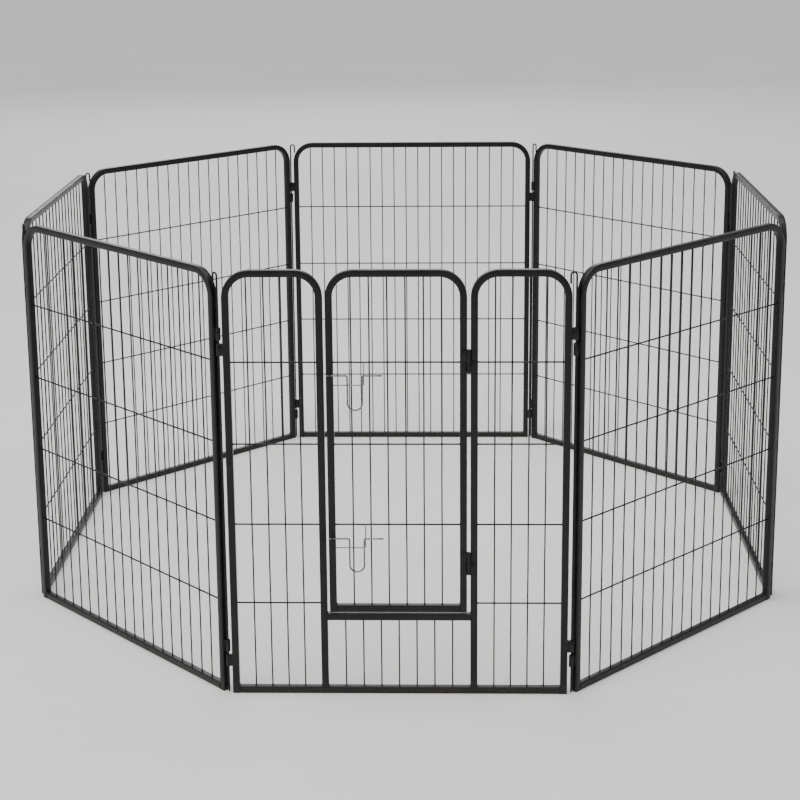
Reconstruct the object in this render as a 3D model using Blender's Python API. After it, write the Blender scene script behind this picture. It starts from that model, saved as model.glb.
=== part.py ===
"""Eight-panel steel pet playpen with a gate, standing as a regular octagon.

Units are metres and +Z is up. The origin is on the ground in the middle of the
pen. The gate panel faces -Y. Each panel is built facing -Y in its own frame:
x runs to the right along the panel, y points into the pen and z is height.
"""

import math

import bmesh
import bpy
from mathutils import Matrix, Vector

# ---- the panels -----------------------------------------------------------
PANEL_COUNT = 8
PANEL_WIDTH = 0.770
PANEL_HEIGHT = 1.000
TUBE = 0.016  # side of the square frame tube
WALL = 0.001  # thickness of its wall
CORNER_RADIUS = 0.062  # outside of the bent top corners
CORNER_STEPS = 4
FIT = 0.0003  # gap left between pieces that touch or are welded
WIRE_ROUNDNESS = 1  # bent wires and rods are drawn six-sided

# ---- the wire mesh --------------------------------------------------------
UPRIGHT_WIRE = 0.0034
CROSS_WIRE = 0.0038
WELD_DEPTH = 0.0006  # how far crossing wires are melted into each other
WIRE_PITCH = 0.039  # usual gap between uprights, centre to centre
PITCH_SLACK = 0.35  # share of a gap that is spread over the others, not added
CROSS_HEIGHTS = (0.219, 0.409, 0.599, 0.789)

# ---- the corner rods and the lugs that they run through ---------------------
ROD_PITCH = 0.7885  # from one rod to the next, along a panel
ROD_RADIUS = 0.0025
ROD_FOOT = 0.001
ROD_TOP = 0.995
HOOK_SPAN = 0.0124  # between the two legs of the hook
HOOK_END = 0.967
LUG_BORE = 0.00325
LUG_RADIUS = 0.0052
LUG_HEIGHT = 0.028
LUG_SIDES = 8
TONGUE_THICKNESS = 0.003
LEFT_LUG_HEIGHTS = (0.079, 0.819)
RIGHT_LUG_HEIGHTS = (0.115, 0.855)

# ---- the gate panel and its door --------------------------------------------
SIDE_HOOP_WIDTH = 0.222
MID_RAIL_BOTTOM = 0.180
DOOR_BOTTOM = 0.201
DOOR_LATCH_GAP = 0.0055
DOOR_HINGE_GAP = 0.008

# ---- the door hinges --------------------------------------------------------
HINGE_HEIGHTS = (0.321, 0.795)
HINGE_LENGTH = 0.053
HINGE_PIN_RADIUS = 0.002
HINGE_BARREL_RADIUS = 0.0042
HINGE_STAND_OFF = 0.0125  # pin axis in front of the panel's middle plane
HINGE_GAP = 0.0006  # between the knuckles, along the pin
LEAF_REACH = 0.016
LEAF_THICKNESS = 0.002
PIN_PROUD = 0.003  # how much longer the pin is than the knuckles

# ---- the door latches -------------------------------------------------------
LATCH_HEIGHTS = (0.380, 0.762)
BOLT_RADIUS = 0.0018
BOLT_STAND_OFF = 0.0112  # bolt axis in front of the middle plane
BOLT_TIP = 0.0005  # from the door's edge to the bolt's end, drawn back
BOLT_LEG = 0.047  # from the bolt end to the handle
HANDLE_SPAN = 0.033
HANDLE_DROP = 0.080
BOLT_TAIL = 0.044
BOLT_BEND = 0.004
STAPLE_RADIUS = 0.0013
STAPLE_CLEAR = 0.0006
STAPLE_HALF_HEIGHT = 0.012
STAPLE_BEND = 0.003
GUIDE_WIRE = 0.0012  # radius of the guide's wire
GUIDE_REACH = 0.084  # from the door's edge to the hanging wire
GUIDE_DROP = 0.023  # below the bolt
GUIDE_OVER = 0.007  # half the stretch that crosses the bolt
GUIDE_BEND = 0.004

# ---- finish -----------------------------------------------------------------
POWDER_COAT = (0.017, 0.015, 0.017, 1.0)
WIRE_COAT = (0.022, 0.020, 0.022, 1.0)
ROD_FINISH = (0.035, 0.034, 0.036, 1.0)
LATCH_FINISH = (0.12, 0.12, 0.12, 1.0)

STEP_ANGLE = math.tau / PANEL_COUNT
CHORD_SAG = 1.6 * (CORNER_RADIUS - TUBE) * (1 - math.cos(math.pi / 4 / CORNER_STEPS))
APOTHEM = ROD_PITCH / 2 / math.tan(STEP_ANGLE / 2)
HALF_WIDTH = PANEL_WIDTH / 2
HALF_TUBE = TUBE / 2
DOOR_LEFT = -HALF_WIDTH + SIDE_HOOP_WIDTH + DOOR_LATCH_GAP
DOOR_RIGHT = HALF_WIDTH - SIDE_HOOP_WIDTH - DOOR_HINGE_GAP
HINGE_X = (DOOR_RIGHT + HALF_WIDTH - SIDE_HOOP_WIDTH) / 2
PANEL_NAMES = (
    "gate_panel",
    "right_front_panel",
    "right_panel",
    "right_back_panel",
    "back_panel",
    "left_back_panel",
    "left_panel",
    "left_front_panel",
)


# ---- scene, materials and placing -------------------------------------------
def clear_scene():
    for thing in list(bpy.data.objects):
        bpy.data.objects.remove(thing, do_unlink=True)


def new_collection(name):
    collection = bpy.data.collections.new(name)
    bpy.context.scene.collection.children.link(collection)
    return collection


def make_material(name, colour, roughness, metallic):
    material = bpy.data.materials.new(name)
    material.use_nodes = True
    shader = material.node_tree.nodes["Principled BSDF"]
    shader.inputs["Base Color"].default_value = colour
    shader.inputs["Roughness"].default_value = roughness
    shader.inputs["Metallic"].default_value = metallic
    return material


def make_object(name, mesh, collection):
    thing = bpy.data.objects.new(name, mesh)
    collection.objects.link(thing)
    return thing


def make_empty(name, matrix, collection):
    empty = bpy.data.objects.new(name, None)
    empty.matrix_world = matrix
    collection.objects.link(empty)
    return empty


def add_part(name, mesh, material, parent, offset=(0.0, 0.0, 0.0)):
    """Put a mesh, drawn in its panel's frame, under an empty of that panel."""
    mesh.name = name
    thing = make_object(name, mesh, parts)
    thing.data.materials.clear()
    thing.data.materials.append(material)
    thing.parent = parent
    thing.location = offset
    return thing


# ---- shapes -----------------------------------------------------------------
def box_mesh(low, high):
    """A box between two corners."""
    low, high = Vector(low), Vector(high)
    bpy.ops.mesh.primitive_cube_add(size=1.0)
    cube = bpy.context.active_object
    mesh = cube.data
    size = high - low
    scale = Matrix.Diagonal((size.x, size.y, size.z, 1.0))
    mesh.transform(Matrix.Translation((low + high) / 2) @ scale)
    bpy.data.objects.remove(cube, do_unlink=True)
    return mesh


def cylinder_mesh(centre, radius, length, sides, axis="Z"):
    """A cylinder whose flats, not its corners, face along the axes."""
    bpy.ops.mesh.primitive_cylinder_add(vertices=sides, radius=radius, depth=length)
    cylinder = bpy.context.active_object
    mesh = cylinder.data
    turn = Matrix.Rotation(math.pi / sides, 4, "Z")
    if axis == "X":
        turn = Matrix.Rotation(math.pi / 2, 4, "Y") @ turn
    if axis == "Y":
        turn = Matrix.Rotation(math.pi / 2, 4, "X") @ turn
    mesh.transform(Matrix.Translation(centre) @ turn)
    bpy.data.objects.remove(cylinder, do_unlink=True)
    return mesh


def mesh_of_curve(curve_object):
    """The mesh of a curve object, with its loose caps welded on."""
    graph = bpy.context.evaluated_depsgraph_get()
    mesh = bpy.data.meshes.new_from_object(curve_object.evaluated_get(graph))
    bpy.data.objects.remove(curve_object, do_unlink=True)
    weld(mesh)
    return mesh


def weld(mesh, distance=1e-6):
    work = bmesh.new()
    work.from_mesh(mesh)
    bmesh.ops.remove_doubles(work, verts=work.verts, dist=distance)
    bmesh.ops.recalc_face_normals(work, faces=work.faces)
    work.to_mesh(mesh)
    work.free()


def plate_mesh(outline, half_thickness):
    """A flat outline of (x, z) points in the panel's plane, given thickness."""
    curve = bpy.data.curves.new("outline", "CURVE")
    curve.dimensions = "2D"
    curve.fill_mode = "BOTH"
    curve.extrude = half_thickness
    spline = curve.splines.new("POLY")
    spline.points.add(len(outline) - 1)
    for point, (x, z) in zip(spline.points, outline):
        point.co = (x, z, 0.0, 1.0)
    spline.use_cyclic_u = True
    flat = make_object("outline", curve, helpers)
    bpy.context.view_layer.update()
    mesh = mesh_of_curve(flat)
    mesh.transform(Matrix.Rotation(math.pi / 2, 4, "X"))
    return mesh


def wire_mesh(points, radius):
    """A round wire bent along a list of points, closed at both ends."""
    curve = bpy.data.curves.new("wire", "CURVE")
    curve.dimensions = "3D"
    curve.bevel_depth = radius
    curve.bevel_resolution = WIRE_ROUNDNESS
    curve.use_fill_caps = True
    spline = curve.splines.new("POLY")
    spline.points.add(len(points) - 1)
    for point, place in zip(spline.points, points):
        point.co = (*place, 1.0)
    wire = make_object("wire", curve, helpers)
    bpy.context.view_layer.update()
    return mesh_of_curve(wire)


def join_meshes(meshes):
    """Several bodies in one mesh, not yet united."""
    work = bmesh.new()
    for mesh in meshes:
        work.from_mesh(mesh)
    result = bpy.data.meshes.new("joined")
    work.to_mesh(result)
    work.free()
    return result


def boolean(mesh, tool, operation):
    """The exact union of two meshes, or the first with the tool cut out."""
    body = make_object("body", mesh, helpers)
    cutter = make_object("cutter", tool, helpers)
    modifier = body.modifiers.new("boolean", "BOOLEAN")
    modifier.operation = operation
    modifier.object = cutter
    modifier.solver = "EXACT"
    bpy.context.view_layer.update()
    graph = bpy.context.evaluated_depsgraph_get()
    result = bpy.data.meshes.new_from_object(body.evaluated_get(graph))
    for thing in (body, cutter):
        bpy.data.objects.remove(thing, do_unlink=True)
    return result


def unite(first, *others):
    for other in others:
        first = boolean(first, other, "UNION")
    return first


def cut(mesh, tool):
    return boolean(mesh, tool, "DIFFERENCE")


# ---- outlines ---------------------------------------------------------------
def arc(centre, radius, start, stop):
    """Points on a circle in the panel's plane, angles in degrees from +x."""
    cx, cz = centre
    angles = [start + (stop - start) * i / CORNER_STEPS for i in range(CORNER_STEPS + 1)]
    return [
        (cx + radius * math.cos(math.radians(a)), cz + radius * math.sin(math.radians(a)))
        for a in angles
    ]


def hoop_outline(left, right, foot, inset, leg):
    """A tube bent into an upside-down U, drawn as the outline of its band.

    inset is how far the band's edges lie inside the tube's faces, and leg how
    far the band runs past the tube's own ends.
    """
    top = PANEL_HEIGHT
    outer = CORNER_RADIUS - inset
    inner = CORNER_RADIUS - TUBE + inset
    low = foot - leg
    left_centre = (left + CORNER_RADIUS, top - CORNER_RADIUS)
    right_centre = (right - CORNER_RADIUS, top - CORNER_RADIUS)
    return (
        [(left + inset, low)]
        + arc(left_centre, outer, 180, 90)
        + arc(right_centre, outer, 90, 0)
        + [(right - inset, low), (right - TUBE + inset, low)]
        + arc(right_centre, inner, 0, 90)
        + arc(left_centre, inner, 90, 180)
        + [(left + TUBE - inset, low)]
    )


def hoop_mesh(left, right, foot):
    """A bent square tube, hollow, with its two ends open at the bottom."""
    solid = plate_mesh(hoop_outline(left, right, foot, 0.0, 0.0), HALF_TUBE)
    hollow = plate_mesh(hoop_outline(left, right, foot, WALL, WALL), HALF_TUBE - WALL)
    return cut(solid, hollow)


def rail_mesh(left, right, bottom):
    """A straight square tube, open at both ends."""
    solid = box_mesh((left, -HALF_TUBE, bottom), (right, HALF_TUBE, bottom + TUBE))
    bore = HALF_TUBE - WALL
    hollow = box_mesh(
        (left - WALL, -bore, bottom + WALL), (right + WALL, bore, bottom + TUBE - WALL)
    )
    return cut(solid, hollow)


# ---- lugs and rods ----------------------------------------------------------
def lug_mesh(side, height):
    """A lug on a post: a barrel round the rod's line and a tongue to the post.

    side is -1 for the panel's left post and 1 for its right post.
    """
    rod_x = side * ROD_PITCH / 2
    post_x = side * (HALF_WIDTH - WALL / 2)
    barrel = cylinder_mesh((rod_x, 0.0, height), LUG_RADIUS, LUG_HEIGHT, LUG_SIDES)
    half_tongue = TONGUE_THICKNESS / 2
    half_height = LUG_HEIGHT / 2 - WALL
    near, far = sorted((post_x, rod_x - side * LUG_BORE))
    tongue = box_mesh(
        (near, -half_tongue, height - half_height), (far, half_tongue, height + half_height)
    )
    bore = cylinder_mesh((rod_x, 0.0, height), LUG_BORE, 2 * LUG_HEIGHT, LUG_SIDES)
    return cut(unite(barrel, tongue), bore)


def lug_group(side):
    """The pair of lugs on one post."""
    heights = RIGHT_LUG_HEIGHTS if side > 0 else LEFT_LUG_HEIGHTS
    return join_meshes([lug_mesh(side, height) for height in heights])


def rod_mesh():
    """A rod with its top bent over into a hook, its own line at x = 0."""
    radius = HOOK_SPAN / 2
    bend = ROD_TOP - ROD_RADIUS - radius
    steps = 6
    hook = [
        (-radius + radius * math.cos(math.pi * i / steps), 0.0,
         bend + radius * math.sin(math.pi * i / steps))
        for i in range(steps + 1)
    ]
    return wire_mesh([(0.0, 0.0, ROD_FOOT)] + hook + [(-HOOK_SPAN, 0.0, HOOK_END)], ROD_RADIUS)


# ---- wire mesh --------------------------------------------------------------
def upright_bar(x, y, low, high, half):
    return box_mesh((x - half, y - half, low), (x + half, y + half, high))


def cross_bar(left, right, y, z, half):
    return box_mesh((left, y - half, z - half), (right, y + half, z + half))


def gap_count(left, right):
    """How many gaps the uprights leave between two posts."""
    return math.ceil((right - left) / WIRE_PITCH - PITCH_SLACK)


def grid_mesh(left, right, bottom, cross_heights):
    """Wire mesh that fills a frame between its inner faces and under its top.

    The uprights are on the outside of the pen. The highest cross wire is
    welded to every upright. The others pass a hair's breadth behind the
    uprights, and are welded to the two at the ends, which stand that much
    further in.
    """
    gaps = gap_count(left, right)
    pitch = (right - left) / gaps
    half_up, half_cross = UPRIGHT_WIRE / 2, CROSS_WIRE / 2
    welded_y = half_up + half_cross - WELD_DEPTH
    free_y = half_up + half_cross + FIT
    bend = CORNER_RADIUS - TUBE
    uprights = []
    for i in range(1, gaps):
        x = left + pitch * i
        y = free_y - welded_y if i in (1, gaps - 1) else 0.0
        into_bend = max(bend - min(x - left, right - x) + half_up, 0.0)
        flat_side = CHORD_SAG if into_bend else 0.0
        top = PANEL_HEIGHT - TUBE - bend + math.sqrt(bend**2 - into_bend**2) - flat_side
        uprights.append(upright_bar(x, y, bottom + FIT, top - FIT, half_up))
    crosses = []
    for z in cross_heights:
        y = welded_y if z == cross_heights[-1] else free_y
        crosses.append(cross_bar(left + FIT, right - FIT, y, z, half_cross))
    return unite(join_meshes(uprights), join_meshes(crosses))


# ---- panels -----------------------------------------------------------------
def panel_frame(index):
    """A panel's own frame, with the origin on the ground under its middle."""
    turn = Matrix.Rotation(STEP_ANGLE * index, 4, "Z")
    return turn @ Matrix.Translation((0.0, -APOTHEM, 0.0))


def hinge_side(index):
    """The end that a panel is hung at: 0 for the gate panel, which stays put.

    Panels 1 to 4 follow round to the right from the gate panel and hang at
    their left ends. Panels 7 to 5 follow round to the left.
    """
    if index == 0:
        return 0
    return -1 if index <= PANEL_COUNT // 2 else 1


def panel_empty(index):
    """The empty that a panel's pieces hang on, on the panel's hinge line."""
    line = Matrix.Translation((hinge_side(index) * ROD_PITCH / 2, 0.0, 0.0))
    return make_empty(PANEL_NAMES[index] + "_origin", panel_frame(index) @ line, helpers)


def panel_offset(index):
    """From a panel's empty back to the middle of the panel."""
    return (-hinge_side(index) * ROD_PITCH / 2, 0.0, 0.0)


def add_plain_panel(index):
    """A panel without a door: bent frame, bottom rail, wire mesh and a rod."""
    empty, offset = panel_empty(index), panel_offset(index)
    name = PANEL_NAMES[index]
    inner = HALF_WIDTH - TUBE
    hoop = unite(hoop_mesh(-HALF_WIDTH, HALF_WIDTH, 0.0), lug_group(-1), lug_group(1))
    rail = rail_mesh(-inner + FIT, inner - FIT, 0.0)
    grid = grid_mesh(-inner, inner, TUBE, CROSS_HEIGHTS)
    add_part(name + "_frame", hoop, coated, empty, offset)
    add_part(name + "_bottom_rail", rail, coated, empty, offset)
    add_part(name + "_wire_mesh", grid, wired, empty, offset)
    add_rod(index, empty, offset)


def add_rod(index, empty, offset):
    """The rod at a panel's right end, with its own line as its origin."""
    line = (offset[0] + ROD_PITCH / 2, 0.0, 0.0)
    rod = add_part(PANEL_NAMES[index] + "_rod", rod_mesh(), plated, empty, line)
    rod.data.shade_smooth()
    rod.data.set_sharp_from_angle(angle=math.radians(50))


def add_gate_panel():
    """The panel with the doorway: two narrow frames on one full-width rail."""
    empty = panel_empty(0)
    left_inner = -HALF_WIDTH + SIDE_HOOP_WIDTH
    right_inner = HALF_WIDTH - SIDE_HOOP_WIDTH
    seat = TUBE + FIT
    left_post = rail_end_cut(hoop_mesh(-HALF_WIDTH, left_inner, 0.0), left_inner - TUBE)
    right_post = rail_end_cut(hoop_mesh(right_inner, HALF_WIDTH, 0.0), right_inner)
    inner = HALF_WIDTH - TUBE - FIT
    add_part("gate_left_frame", unite(left_post, lug_group(-1)), coated, empty)
    add_part("gate_right_frame", unite(right_post, lug_group(1)), coated, empty)
    add_part("gate_bottom_rail", rail_mesh(-inner, inner, 0.0), coated, empty)
    left_grid = grid_mesh(-HALF_WIDTH + TUBE, left_inner - TUBE, TUBE, CROSS_HEIGHTS)
    right_grid = grid_mesh(right_inner + TUBE, HALF_WIDTH - TUBE, TUBE, CROSS_HEIGHTS)
    add_part("gate_left_wire_mesh", left_grid, wired, empty)
    add_part("gate_right_wire_mesh", right_grid, wired, empty)
    sill = sill_mesh(left_inner + FIT, right_inner - FIT, seat)
    add_part("gate_sill_rail", sill, coated, empty)
    add_rod(0, empty, (0.0, 0.0, 0.0))
    return empty


def rail_end_cut(hoop, post_left):
    """Shorten a hoop's inner post, so that it stands on the bottom rail."""
    low = (post_left - FIT, -TUBE, -TUBE)
    high = (post_left + TUBE + FIT, TUBE, TUBE + FIT)
    return cut(hoop, box_mesh(low, high))


def sill_mesh(left, right, low):
    """The rail under the door, with short wires down to the bottom rail."""
    rail = rail_mesh(left, right, MID_RAIL_BOTTOM)
    gaps = gap_count(left, right)
    pitch = (right - left) / gaps
    high, half = MID_RAIL_BOTTOM + WALL / 2, UPRIGHT_WIRE / 2
    wires = [
        upright_bar(left + pitch * i, 0.0, low, high, half) for i in range(1, gaps)
    ]
    return unite(rail, join_meshes(wires))


# ---- the door ---------------------------------------------------------------
def add_door():
    """The door's own pieces, hung on an empty on its hinge line."""
    line = Matrix.Translation((HINGE_X, -HINGE_STAND_OFF, 0.0))
    empty = make_empty("door_origin", panel_frame(0) @ line, helpers)
    offset = (-HINGE_X, HINGE_STAND_OFF, 0.0)
    left, right = DOOR_LEFT + TUBE, DOOR_RIGHT - TUBE
    frame = hoop_mesh(DOOR_LEFT, DOOR_RIGHT, DOOR_BOTTOM)
    rail = rail_mesh(left + FIT, right - FIT, DOOR_BOTTOM)
    grid = grid_mesh(left, right, DOOR_BOTTOM + TUBE, CROSS_HEIGHTS[1:])
    add_part("door_frame", frame, coated, empty, offset)
    add_part("door_bottom_rail", rail, coated, empty, offset)
    add_part("door_wire_mesh", grid, wired, empty, offset)
    return empty, offset


def leaf_mesh(side, middle, half):
    """A hinge leaf on a tube's front face, with its knuckle on the pin's line.

    side is -1 for the leaf on the door and 1 for the leaf on the post.
    """
    face = -HALF_TUBE - FIT
    barrel_at = (HINGE_X, -HINGE_STAND_OFF, middle)
    barrel = cylinder_mesh(barrel_at, HINGE_BARREL_RADIUS, 2 * half, 10)
    near, far = sorted((HINGE_X, HINGE_X + side * LEAF_REACH))
    plate = box_mesh((near, face - LEAF_THICKNESS, middle - half), (far, face, middle + half))
    bore = cylinder_mesh(barrel_at, HINGE_PIN_RADIUS + FIT, 3 * half, 10)
    return cut(unite(barrel, plate), bore)


def add_door_hinges(gate, door, door_offset):
    """Two barrel hinges: a post leaf below, a door leaf above and a pin."""
    half = (HINGE_LENGTH - HINGE_GAP) / 4
    for label, height in zip(("lower", "upper"), HINGE_HEIGHTS):
        shift = half + HINGE_GAP / 2
        post_leaf = leaf_mesh(1, height - shift, half)
        door_leaf = leaf_mesh(-1, height + shift, half)
        pin_at = (HINGE_X, -HINGE_STAND_OFF, height)
        pin = cylinder_mesh(pin_at, HINGE_PIN_RADIUS, HINGE_LENGTH + PIN_PROUD, 10)
        add_part(f"{label}_hinge_post_leaf", post_leaf, coated, gate)
        add_part(f"{label}_hinge_door_leaf", door_leaf, coated, door, door_offset)
        add_part(f"{label}_hinge_pin", pin, plated, gate)


# ---- the latches ------------------------------------------------------------
def rounded_path(corners, radius, steps=2):
    """A path through corner points, with each inner corner rounded off."""
    path = [Vector(corners[0])]
    for before, corner, after in zip(corners, corners[1:], corners[2:]):
        corner = Vector(corner)
        start = corner + (Vector(before) - corner).normalized() * radius
        stop = corner + (Vector(after) - corner).normalized() * radius
        for i in range(steps + 1):
            t = i / steps
            path.append(start.lerp(corner, t).lerp(corner.lerp(stop, t), t))
    return path + [Vector(corners[-1])]


def bolt_mesh():
    """A wire bolt with a U handle, its left end at x = 0 and its line at z = 0."""
    right = BOLT_LEG + HANDLE_SPAN
    corners = [
        (0.0, 0.0, 0.0),
        (BOLT_LEG, 0.0, 0.0),
        (BOLT_LEG, 0.0, -HANDLE_DROP + HANDLE_SPAN / 2),
    ]
    down = rounded_path(corners, BOLT_BEND)
    centre = Vector((BOLT_LEG + HANDLE_SPAN / 2, 0.0, -HANDLE_DROP + HANDLE_SPAN / 2))
    radius, steps = HANDLE_SPAN / 2, 6
    swing = [
        centre + Vector((-math.cos(math.pi * i / steps), 0.0, -math.sin(math.pi * i / steps)))
        * radius
        for i in range(1, steps)
    ]
    corners = [
        (right, 0.0, -HANDLE_DROP + HANDLE_SPAN / 2),
        (right, 0.0, 0.0),
        (right + BOLT_TAIL, 0.0, 0.0),
    ]
    up = rounded_path(corners, BOLT_BEND)
    return wire_mesh(down + swing + up, BOLT_RADIUS)


def staple_mesh(x, z):
    """A wire staple on a tube's front face, arched over the bolt."""
    face = -HALF_TUBE - FIT
    front = -BOLT_STAND_OFF - BOLT_RADIUS - STAPLE_CLEAR - STAPLE_RADIUS
    corners = [
        (x, face, z - STAPLE_HALF_HEIGHT),
        (x, front, z - STAPLE_HALF_HEIGHT),
        (x, front, z + STAPLE_HALF_HEIGHT),
        (x, face, z + STAPLE_HALF_HEIGHT),
    ]
    return wire_mesh(rounded_path(corners, STAPLE_BEND), STAPLE_RADIUS)


def bracket_mesh(bolt_z, cross_z):
    """A guide wire from a cross wire, over the bolt's tail and to the post."""
    x = DOOR_LEFT + GUIDE_REACH
    weld_y = UPRIGHT_WIRE / 2 - WELD_DEPTH - FIT - GUIDE_WIRE
    front_y = -BOLT_STAND_OFF - BOLT_RADIUS - 2 * FIT - GUIDE_WIRE
    back_y = (-BOLT_STAND_OFF + BOLT_RADIUS - UPRIGHT_WIRE / 2) / 2
    low = bolt_z - GUIDE_DROP
    corners = [
        (x, weld_y, cross_z),
        (x, front_y, bolt_z + GUIDE_OVER),
        (x, front_y, bolt_z - GUIDE_OVER),
        (x, back_y, low),
        (DOOR_LEFT + TUBE + FIT, back_y, low),
    ]
    return wire_mesh(rounded_path(corners, GUIDE_BEND), GUIDE_WIRE)


def add_latches(gate, door, door_offset):
    """Two bolts, each with a staple and a guide on the door and a keeper."""
    post_x = DOOR_LEFT - DOOR_LATCH_GAP - HALF_TUBE
    rows = zip(("lower", "upper"), LATCH_HEIGHTS, CROSS_HEIGHTS[1::2])
    for label, z, cross_z in rows:
        line = (DOOR_LEFT + BOLT_TIP, -BOLT_STAND_OFF, z)
        at = Vector(door_offset) + Vector(line)
        bolt = add_part(f"{label}_latch_bolt", bolt_mesh(), bare, door, at)
        bolt.data.shade_smooth()
        staple = staple_mesh(DOOR_LEFT + HALF_TUBE, z)
        add_part(f"{label}_latch_staple", staple, coated, door, door_offset)
        bracket = bracket_mesh(z, cross_z)
        add_part(f"{label}_latch_guide_wire", bracket, bare, door, door_offset)
        add_part(f"{label}_latch_keeper", staple_mesh(post_x, z), coated, gate)


# ---- the whole pen ----------------------------------------------------------
clear_scene()
parts = new_collection("pet_playpen")
helpers = new_collection("helpers")
coated = make_material("black powder-coated tube", POWDER_COAT, 0.38, 0.0)
wired = make_material("black coated mesh wire", WIRE_COAT, 0.35, 0.0)
plated = make_material("dark plated rod", ROD_FINISH, 0.30, 1.0)
bare = make_material("bare steel latch wire", LATCH_FINISH, 0.35, 1.0)

gate_origin = add_gate_panel()
for number in range(1, PANEL_COUNT):
    add_plain_panel(number)
door_origin, from_hinge = add_door()
add_door_hinges(gate_origin, door_origin, from_hinge)
add_latches(gate_origin, door_origin, from_hinge)
bpy.context.view_layer.update()
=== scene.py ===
"""The finished look of an eight-panel steel pet playpen, built round its CAD frame.

Lengths are metres. Each panel has a frame of its own, in which x runs to the
right along the panel seen from outside, y points into the pen and z is up.
"""

import math
import random

import bmesh
import bpy
from mathutils import Matrix, Vector


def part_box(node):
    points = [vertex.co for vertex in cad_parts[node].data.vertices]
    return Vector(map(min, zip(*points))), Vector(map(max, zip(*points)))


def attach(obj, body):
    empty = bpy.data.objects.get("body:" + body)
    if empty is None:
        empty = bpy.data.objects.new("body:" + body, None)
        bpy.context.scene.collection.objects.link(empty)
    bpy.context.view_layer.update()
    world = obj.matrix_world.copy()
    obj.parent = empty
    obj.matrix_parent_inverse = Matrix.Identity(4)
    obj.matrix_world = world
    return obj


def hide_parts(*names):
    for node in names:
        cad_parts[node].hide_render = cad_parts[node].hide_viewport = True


bl_info = {
    "name": "Pet Playpen",
    "version": (1, 0, 0),
    "blender": (4, 5, 0),
    "location": "View3D > Sidebar > Playpen",
    "description": "Builds a wire-mesh pet playpen with a latched door",
    "category": "Add Mesh",
}

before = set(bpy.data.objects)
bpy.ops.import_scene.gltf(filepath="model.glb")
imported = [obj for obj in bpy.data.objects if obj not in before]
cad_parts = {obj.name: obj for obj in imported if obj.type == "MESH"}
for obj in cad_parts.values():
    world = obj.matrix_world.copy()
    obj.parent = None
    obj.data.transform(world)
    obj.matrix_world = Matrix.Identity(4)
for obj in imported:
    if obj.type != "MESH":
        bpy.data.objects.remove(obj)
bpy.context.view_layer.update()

PANELS = (
    "gate_panel",
    "right_front_panel",
    "right_panel",
    "right_back_panel",
    "back_panel",
    "left_back_panel",
    "left_panel",
    "left_front_panel",
)
STEP_ANGLE = math.tau / len(PANELS)


# ---- sizes read from the frame ------------------------------------------------
def low(node):
    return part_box(node)[0]


def high(node):
    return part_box(node)[1]


def middle(node):
    return (low(node) + high(node)) / 2


def size(node):
    return high(node) - low(node)


FIT = 0.0003  # the gap that the frame leaves between a fitted piece and its neighbour
TUBE = size("gate_bottom_rail").z
APOTHEM = -middle("gate_bottom_rail").y
HEIGHT = high("gate_left_frame").z
HALF_WIDTH = high("gate_bottom_rail").x + FIT + TUBE
ROD_RADIUS = size("gate_panel_rod").y / 2
ROD_X = high("gate_panel_rod").x - ROD_RADIUS
HOOK_SPAN = size("gate_panel_rod").x - 2 * ROD_RADIUS
SIDE_LEFT = high("gate_left_frame").x
SIDE_RIGHT = low("gate_right_frame").x
DOOR_LEFT, DOOR_RIGHT = low("door_frame").x, high("door_frame").x
DOOR_FOOT = low("door_frame").z
SILL_FOOT = high("gate_sill_rail").z - TUBE
PIN_X, PIN_Y = middle("lower_hinge_pin").x, middle("lower_hinge_pin").y + APOTHEM

# ---- sizes inside a node, which its box doesn't give ----------------------------
CROSS_HEIGHTS = (0.219, 0.409, 0.599, 0.789)
LEFT_LUGS = (0.079, 0.819)
RIGHT_LUGS = (0.115, 0.855)
HOOK_END = 0.967
GRID_PITCH, PITCH_SLACK = 0.039, 0.35

# How far a lug wraps round the rod each way, half its neck's thickness, its eased rims.
LUG_WRAP, LUG_NECK, LUG_EASED = math.radians(125), 0.0039, 0.0006
LEAF_THICKNESS, LEAF_EDGE, PIN_HEAD = 0.0022, 0.0006, 0.0014

# A latch's handle starts this far from the bolt's tip. Its guide wire stands straight
# for this far above and below the bolt.
HANDLE_INSET, HANDLE_WIDTH, HANDLE_BEND = 0.047, 0.033, 0.005
GUIDE_RADIUS, GUIDE_BEND, GUIDE_FLAT = 0.0012, 0.004, 0.007
STAPLE_BEND = 0.0035

# Weld beads ripple at this pitch, on a line this much wider than the tube. Crossing
# wires sink this far into each other.
BEAD_RIPPLE, BEAD_MARGIN, WELD_SINK = 0.0013, 0.0004, 0.0006
SHARP_ANGLE = math.radians(42)


# ---- colours and settings that a user would change ----------------------------
def linear(code):
    """An sRGB hex colour such as 1C1B1D as linear red, green and blue."""
    parts = [int(code[i : i + 2], 16) / 255 for i in (0, 2, 4)]
    return tuple(c / 12.92 if c <= 0.04045 else ((c + 0.055) / 1.055) ** 2.4 for c in parts)


def colour_setting(name, description, code):
    return bpy.props.FloatVectorProperty(
        name=name, description=description, subtype="COLOR", size=3, min=0.0, max=1.0,
        default=linear(code),
    )


def length_setting(name, description, default):
    return bpy.props.FloatProperty(
        name=name, description=description, default=default, min=0.0, unit="LENGTH",
        subtype="DISTANCE", precision=4,
    )


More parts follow.
